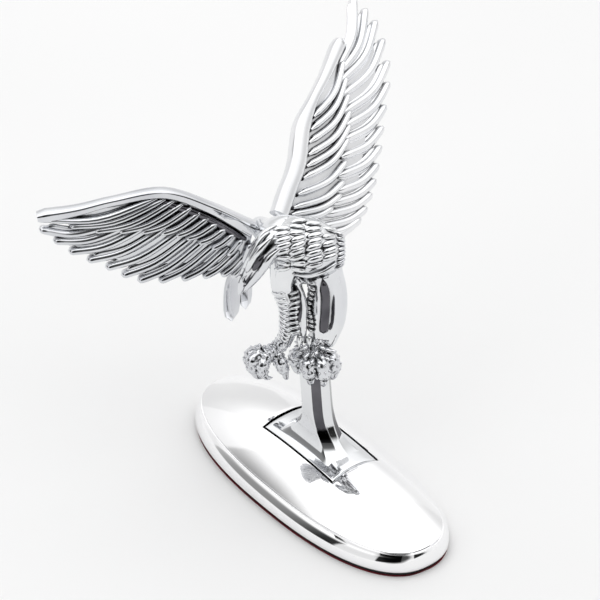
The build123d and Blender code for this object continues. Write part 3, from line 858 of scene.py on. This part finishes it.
def ribs(blank, chain, count, grow, turn):
    """Raised bands part of the way round a leg."""
    stations, radii = chain_curve(chain, count + 2)
    for i in range(1, count + 1):
        centre = stations[i]
        axis = (stations[i + 1] - stations[i - 1]).normalized()
        first = (turn - axis * turn.dot(axis)).normalized()
        second = axis.cross(first)
        path = []
        for k in range(25):
            angle = math.radians(-75 + 150 * k / 24)
            path.append(centre + (first * math.cos(angle) + second * math.sin(angle)) * (radii[i] + grow)
                        - axis * 0.9 * math.cos(angle))
        sizes = [min(1.0, 0.15 + 0.3 * min(k, 24 - k)) for k in range(25)]
        sweep(blank, path, [0.78 * k for k in sizes], [0.55 * k for k in sizes], centre - path[12], sides=8)


def leg_details(blank, skin):
    """Teeth and ribs down the legs, the far leg's raised column in the darker chrome, a painted dark
    reflection, and a strip of painted shade between the legs.
    """
    toothed(blank, skin, -8.3, 46.8, 9, 1.45, SIDE + RISE * 0.25, 3.4, 0.5)
    toothed(blank, skin, -2.9, 50.4, 11, 1.45, SIDE - RISE * 0.3, 3.2, 0.55)
    # Column and strip take the darker chrome: painted dark reflection and painted shade.
    column = spots(skin, ((0.6, 50.4), (1.3, 46.5), (1.3, 42), (1.0, 37.5), (0.8, 34.5)))
    laid(blank, skin, column, 1.5, 1.1, 0.5, sides=14, power=2.0, root=0.12, tip=0.12, mark=DARK)
    shade = spots(skin, ((-7.6, 49.0), (-6.7, 45.5), (-6.6, 41), (-7.0, 37.5)))
    laid(blank, skin, shade, 1.0, 0.6, 0.2, power=2.0, root=0.2, tip=0.2, mark=DARK)
    ribs(blank, RIGHT_LEG[1:], 10, -0.05, Vector((-0.25, -0.97, 0)))
    ribs(blank, LEFT_LEG[1:], 9, -0.42, Vector((-0.6, 0.8, 0)))


def cuffs(blank):
    """Feathers that hang over the ankles."""
    wide = [0.7, 0.85, 0.9, 0.85, 0.7, 0.5, 0.3, 0.1]
    high = [0.6] * 7 + [0.1]
    for i in range(5):
        ankle = at(-6.4 + 1.6 * i, -11 + 2.6 * i, 41.5 - 0.6 * i)
        path = [ankle + UP * 2.6, ankle + FRONT * 0.9, ankle + FRONT * 1.4 - UP * 2.2]
        sweep(blank, smooth_path(path, 8), wide, high, FRONT, sides=10)


def eagle():
    """Body, head and legs of the casting, with feathers laid on."""
    core = Blank()
    for chain in CORE:
        limb(core, chain)
    skin = Skin(remeshed(core, "eagle_core", CORE_VOXEL, CORE_SMOOTHING))
    blank = Blank()
    blank.verts = list(skin.verts)
    blank.faces = list(skin.faces)
    blank.marks = [0] * len(blank.faces)
    breast(blank, skin)
    back_feathers(blank, skin)
    head_details(blank, skin)
    leg_details(blank, skin)
    cuffs(blank)
    return blank.build("eagle_casting", [BODY_CHROME, PAINTED_SHADE_CHROME], "figure", ["eagle_body"],
                       180)


# ---- feet ----
TOE_UP = Vector((0.3, 0.2, 1))


def knobbed(blank, chain, knobs, studs=7):
    """Toe or shank with knuckles and small scales."""
    count = 10 * (len(chain) - 1) + 1
    path, radii = chain_curve(chain, count)
    swell = [1 + 0.13 * math.sin(math.pi * knobs * i / (count - 1)) ** 2 for i in range(count)]
    swell[0] = 0.4
    swell[-1] = 0.5
    sizes = [r * k for r, k in zip(radii, swell)]
    sweep(blank, path, sizes, sizes, TOE_UP, sides=14)
    for i in range(2, count - 2, 3):
        ahead = (path[i + 1] - path[i - 1]).normalized()
        side = ahead.cross(TOE_UP).normalized()
        rise = side.cross(ahead).normalized()
        for k in range(studs):
            angle = 2 * math.pi * (k + 0.5 * (i // 3 % 2)) / studs
            out = side * math.cos(angle) + rise * math.sin(angle)
            stud(blank, path[i] + out * radii[i] * 0.98, out, radii[i] * 0.26)


def stud(blank, centre, out, radius):
    """Low round scale."""
    path = [centre - out * radius * 0.6, centre + out * radius * 0.35, centre + out * radius * 0.75,
            centre + out * radius * 0.95]
    sizes = [radius, radius * 0.92, radius * 0.6, radius * 0.15]
    sweep(blank, path, sizes, sizes, out.orthogonal(), sides=8)


def claw(blank, chain):
    """Smooth curved claw."""
    path, sizes = chain_curve(chain, 6 * (len(chain) - 1) + 1)
    sweep(blank, path, sizes, sizes, TOE_UP, sides=12)


def toe(blank, chain, curl):
    """Scaled toe that ends in a claw curling the given way."""
    knobbed(blank, chain, 3)
    x, y, z, r = chain[-1]
    cx, cy, cz = curl
    claw(blank, [(x, y, z + 0.4, r * 0.85), (x + cx * 0.4, y + cy * 0.4, z + cz * 0.7, r * 0.6),
                 (x + cx, y + cy, z + cz, 0.2)])


RUFF_COUNT = 46
GOLDEN_TURN = 2.399       # radians; spreads the spikes evenly round the foot


def ruff(blank):
    """Short spiky feathers all round the perching foot."""
    rough = random.Random(3)
    wide = [0.9, 0.85, 0.75, 0.6, 0.4, 0.1]
    high = [0.7, 0.7, 0.6, 0.5, 0.3, 0.08]
    for i in range(RUFF_COUNT):
        turn = GOLDEN_TURN * i
        down = i / (RUFF_COUNT - 1)
        reach = 4.6 + 1.6 * math.sin(math.pi * down)
        out = Vector((math.cos(turn), math.sin(turn), 0.15))
        root = at(-1.2, -1.4, 39.5 - 8.5 * down) + out * (reach - 1.6)
        tip = root + out * rough.uniform(2.0, 2.9) - UP * 0.5
        sweep(blank, smooth_path([root, root.lerp(tip, 0.6), tip], 6), wide, high, UP, 8)


def raised_foot(blank):
    """Right foot, held out in front of the post."""
    shank = [(-5.5, -9.6, 42, 2.2), (-6.2, -11.6, 39.6, 2.1), (-6.6, -14.4, 38.6, 2.1), (-7, -17, 38.4, 2.6)]
    knobbed(blank, shank, 2)
    toe(blank, [(-7.2, -17, 39, 2.6), (-9.6, -19.4, 38, 2.1), (-10.2, -20, 34.4, 1.6)], (1.6, 1.6, -3.2))
    toe(blank, [(-7, -17, 39, 2.6), (-7.4, -20.6, 37.4, 2.1), (-7.2, -20.4, 33.4, 1.6)], (1.4, 2.6, -2.8))
    toe(blank, [(-6.8, -16.6, 38.6, 2.5), (-4.8, -19, 36.6, 2.0), (-4.8, -18.6, 32.8, 1.5)], (0.8, 3.0, -2.0))
    toe(blank, [(-6.4, -13, 38, 2.2), (-3.6, -12.6, 35, 1.9), (-2.8, -11.8, 31.8, 1.5)], (0.2, 1.2, -3.0))


def perching_foot(blank):
    """Left foot, closed over the top of the post."""
    knobbed(blank, [(-1.8, 0.8, 40.6, 3.1), (-1.4, -0.2, 37, 2.8), (-1.4, -0.8, 33.4, 3.8)], 2)
    toe(blank, [(-1.6, -2.0, 34.8, 2.9), (1.4, -5.8, 34.0, 2.3), (3.0, -6.4, 30.4, 1.8)], (-1.0, 1.4, -2.8))
    toe(blank, [(-1.4, -1.4, 34.6, 2.9), (3.6, -2.4, 33.8, 2.3), (5.0, -2.4, 29.4, 1.8)], (-1.4, 0.4, -3.0))
    toe(blank, [(-1.4, -0.4, 34.4, 2.9), (2.6, 2.4, 33.2, 2.3), (3.4, 3.0, 29.0, 1.8)], (-1.0, -1.2, -3.0))
    toe(blank, [(-2.2, -1, 34, 2.9), (-6.4, -4.4, 32.6, 2.3), (-7.0, -4.8, 29, 1.7)], (2, 1.0, -3.0))
    knobbed(blank, [(-2.2, -0.4, 34, 4.0), (-2.7, -0.1, 30.4, 4.7), (-2.9, 0, 26.6, 4.0)], 2)


def feet():
    """Both clawed feet."""
    blank = Blank()
    raised_foot(blank)
    perching_foot(blank)
    ruff(blank)
    return blank.build("eagle_feet", [FIGURE_CHROME], "figure", ["eagle_body"], 180)


# ---- tail ----
BLADE_SECTION = [(-1, 0.0), (-0.86, 0.45), (0, 1.0), (0.86, 0.45), (1, 0.0), (0.86, -0.45), (0, -0.8),
                 (-0.86, -0.45)]
BLADES = ((-0.7, 3.4, 0.0), (4.8, 2.5, 2.2))     # sideways shift, half width, and how much shorter


def tail():
    """Two broad blades with a bend and a raised centre, side by side."""
    blank = Blank()
    level = Vector((0, 1, 0))
    steps = 22
    for shift, half, short in BLADES:
        line = [at(-21, -1 + shift * 0.5, 59), at(-31, -1 + shift * 0.8, 54.6), at(-39, -0.9 + shift, 46.4),
                at(-43, -0.7 + shift, 37), at(-44, -0.5 + shift, 22 + short)]
        path = smooth_path(line, steps)
        rings = []
        for i, point in enumerate(path):
            ahead = (path[min(i + 1, steps - 1)] - path[max(i - 1, 0)]).normalized()
            face = ahead.cross(level).normalized()
            size = bullet(i / (steps - 1), 0.1, 0.12, 0.7)
            wide = half * size
            high = min(1.0, size * 1.4)
            rings.append([point + level * a * wide + face * b * high for a, b in BLADE_SECTION])
        blank.ring_skin(rings)
    return blank.build("tail_casting", [FIGURE_CHROME], "figure", ["tail"], 24)


# ---- finish of the carried-over pieces ----
def dress(node, material):
    """Give a CAD node's own mesh its material."""
    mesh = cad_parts[node].data
    mesh.materials.clear()
    mesh.materials.append(material)


FINISHES = {"foam_tape": FOAM, "release_liner": FILM, "base_plate": PLASTIC, "base_plate_screws": STEEL,
            "pivot_bracket": STEEL, "bracket_screws": STEEL, "pivot_pin": STEEL, "pin_clips": STEEL,
            "front_spring": STEEL, "rear_spring": STEEL, "stand_screw": STEEL, "right_wing_dowels": STEEL,
            "left_wing_dowels": STEEL, "tail_dowel": STEEL, "pivot_bush": BRASS}


# ---- studio ----
AZIMUTH, ELEVATION = 52.3, 36.8
CAMERA_DISTANCE = 1500.0
FRAME_WIDTH = 187.5       # millimetres across the image at the window
SENSOR = 36.0
WINDOW_OFFSET = (6.34, -44.7)   # millimetres from the image's centre to the window's
FLOOR_HALF = 6.0          # metres


def camera():
    """Long-lens camera aimed so that the window's centre lands at its offset."""
    azimuth = math.radians(AZIMUTH)
    elevation = math.radians(ELEVATION)
    right = Vector((math.cos(azimuth), math.sin(azimuth), 0))
    back = Vector((math.sin(azimuth) * math.cos(elevation), -math.cos(azimuth) * math.cos(elevation),
                   math.sin(elevation)))
    up = back.cross(right)
    aim = at(0, 0, 0) - right * WINDOW_OFFSET[0] - up * WINDOW_OFFSET[1]
    data = bpy.data.cameras.new("camera")
    data.sensor_width = SENSOR
    data.lens = SENSOR * CAMERA_DISTANCE / FRAME_WIDTH
    data.clip_start = 0.05
    data.clip_end = 20.0
    eye = bpy.data.objects.new("camera", data)
    eye.location = (aim + back * CAMERA_DISTANCE) * MM
    eye.rotation_euler = back.to_track_quat("Z", "Y").to_euler()
    bpy.context.scene.collection.objects.link(eye)
    bpy.context.scene.camera = eye


def floor():
    """Plain pale floor, large and seamless."""
    mesh = bpy.data.meshes.new("floor")
    corners = [(x * FLOOR_HALF, y * FLOOR_HALF, 0) for x, y in ((-1, -1), (1, -1), (1, 1), (-1, 1))]
    mesh.from_pydata(corners, [], [(0, 1, 2, 3)])
    sheet = bpy.data.objects.new("floor", mesh)
    material, nodes, links, shader = new_material("floor_paper")
    drift = noise_node(nodes, links, 3.0)
    colour = ramp_node(nodes, links, drift.outputs["Fac"], grey(0.84), grey(0.87))
    links.new(colour.outputs["Color"], shader.inputs["Base Color"])
    shader.inputs["Roughness"].default_value = 0.85
    mesh.materials.append(material)
    bpy.context.scene.collection.objects.link(sheet)


def math_node(nodes, links, kind, first, second=0.0):
    """Arithmetic on a socket and a number, or on two sockets."""
    node = nodes.new("ShaderNodeMath")
    node.operation = kind
    for slot, value in enumerate((first, second)):
        if isinstance(value, (int, float)):
            node.inputs[slot].default_value = value
        else:
            links.new(value, node.inputs[slot])
    return node.outputs[0]


def band_node(nodes, links, value, stops):
    """Grey ramp over a value, from (position, grey) stops."""
    ramp = nodes.new("ShaderNodeValToRGB")
    ramp.color_ramp.interpolation = "EASE"
    line = ramp.color_ramp.elements
    line[0].position, line[0].color = stops[0][0], grey(stops[0][1])
    line[1].position, line[1].color = stops[-1][0], grey(stops[-1][1])
    for position, tone in stops[1:-1]:
        line.new(position).color = grey(tone)
    links.new(value, ramp.inputs["Fac"])
    return ramp.outputs["Color"]


# Grey ramps over the height of the sky, from the horizon at 0 to the top at 1.
PALE = ((0.0, 0.55), (0.3, 0.52), (0.62, 0.68), (1.0, 1.0))
FLAGGED = ((0.0, 0.52), (0.055, 0.52), (0.11, 0.01), (0.42, 0.02), (0.62, 0.68), (1.0, 1.0))
ROOM = ((0.0, 1.0), (0.80, 1.0), (0.93, 0.10), (1.0, 0.06))     # over the angle to the room
SKY_STRENGTH = 1.75
BACKDROP_TURN = 2.48      # direction of the pale backdrop, radians round from +X
FLAG_COUNT = 5.0
ROOM_DIRECTION = (0.66, -0.56, 0.50)


def flag_weight(nodes, links, turn):
    """How strongly the dark flags show in each direction: in bands, and least over the backdrop."""
    wave = math_node(nodes, links, "SINE", math_node(nodes, links, "MULTIPLY", turn, FLAG_COUNT))
    flags = band_node(nodes, links, math_node(nodes, links, "ADD", wave, 0.6),
                      ((0.0, 0.15), (0.3, 0.15), (0.5, 1.0), (1.0, 1.0)))
    away = math_node(nodes, links, "COSINE", math_node(nodes, links, "SUBTRACT", turn, BACKDROP_TURN))
    facing = band_node(nodes, links, math_node(nodes, links, "SUBTRACT", 0.6, away),
                       ((0.0, 0.12), (0.5, 0.7), (0.9, 1.0), (1.0, 1.0)))
    return math_node(nodes, links, "MULTIPLY", flags, facing)


def room_shade(nodes, links, direction):
    """Dark round patch on the sky, the unlit room in front of the object."""
    room = nodes.new("ShaderNodeVectorMath")
    room.operation = "DOT_PRODUCT"
    room.inputs[1].default_value = ROOM_DIRECTION
    links.new(direction, room.inputs[0])
    return band_node(nodes, links, room.outputs["Value"], ROOM)


def surroundings():
    """White studio with a pale backdrop behind, dark flags low down, and a dark room in front."""
    world = bpy.data.worlds.new("studio")
    world.use_nodes = True
    nodes = world.node_tree.nodes
    links = world.node_tree.links
    place = nodes.new("ShaderNodeTexCoord")
    split = nodes.new("ShaderNodeSeparateXYZ")
    links.new(place.outputs["Generated"], split.inputs["Vector"])
    height = split.outputs["Z"]
    turn = math_node(nodes, links, "ARCTAN2", split.outputs["Y"], split.outputs["X"])
    weight = flag_weight(nodes, links, turn)
    pale = band_node(nodes, links, height, PALE)
    flagged = band_node(nodes, links, height, FLAGGED)
    sky = mix_node(nodes, links, pale, flagged, weight)
    shade = room_shade(nodes, links, place.outputs["Generated"])
    lit = mix_node(nodes, links, sky, shade, 1.0, "MULTIPLY")
    back = nodes["Background"]
    back.inputs["Strength"].default_value = SKY_STRENGTH
    links.new(lit, back.inputs["Color"])
    bpy.context.scene.world = world
    bpy.context.scene.view_settings.view_transform = "Standard"


for node_name, finish in FINISHES.items():
    dress(node_name, finish)
base_shell()
stand()
right_wing()
left_wing()
eagle()
feet()
tail()
floor()
surroundings()
camera()
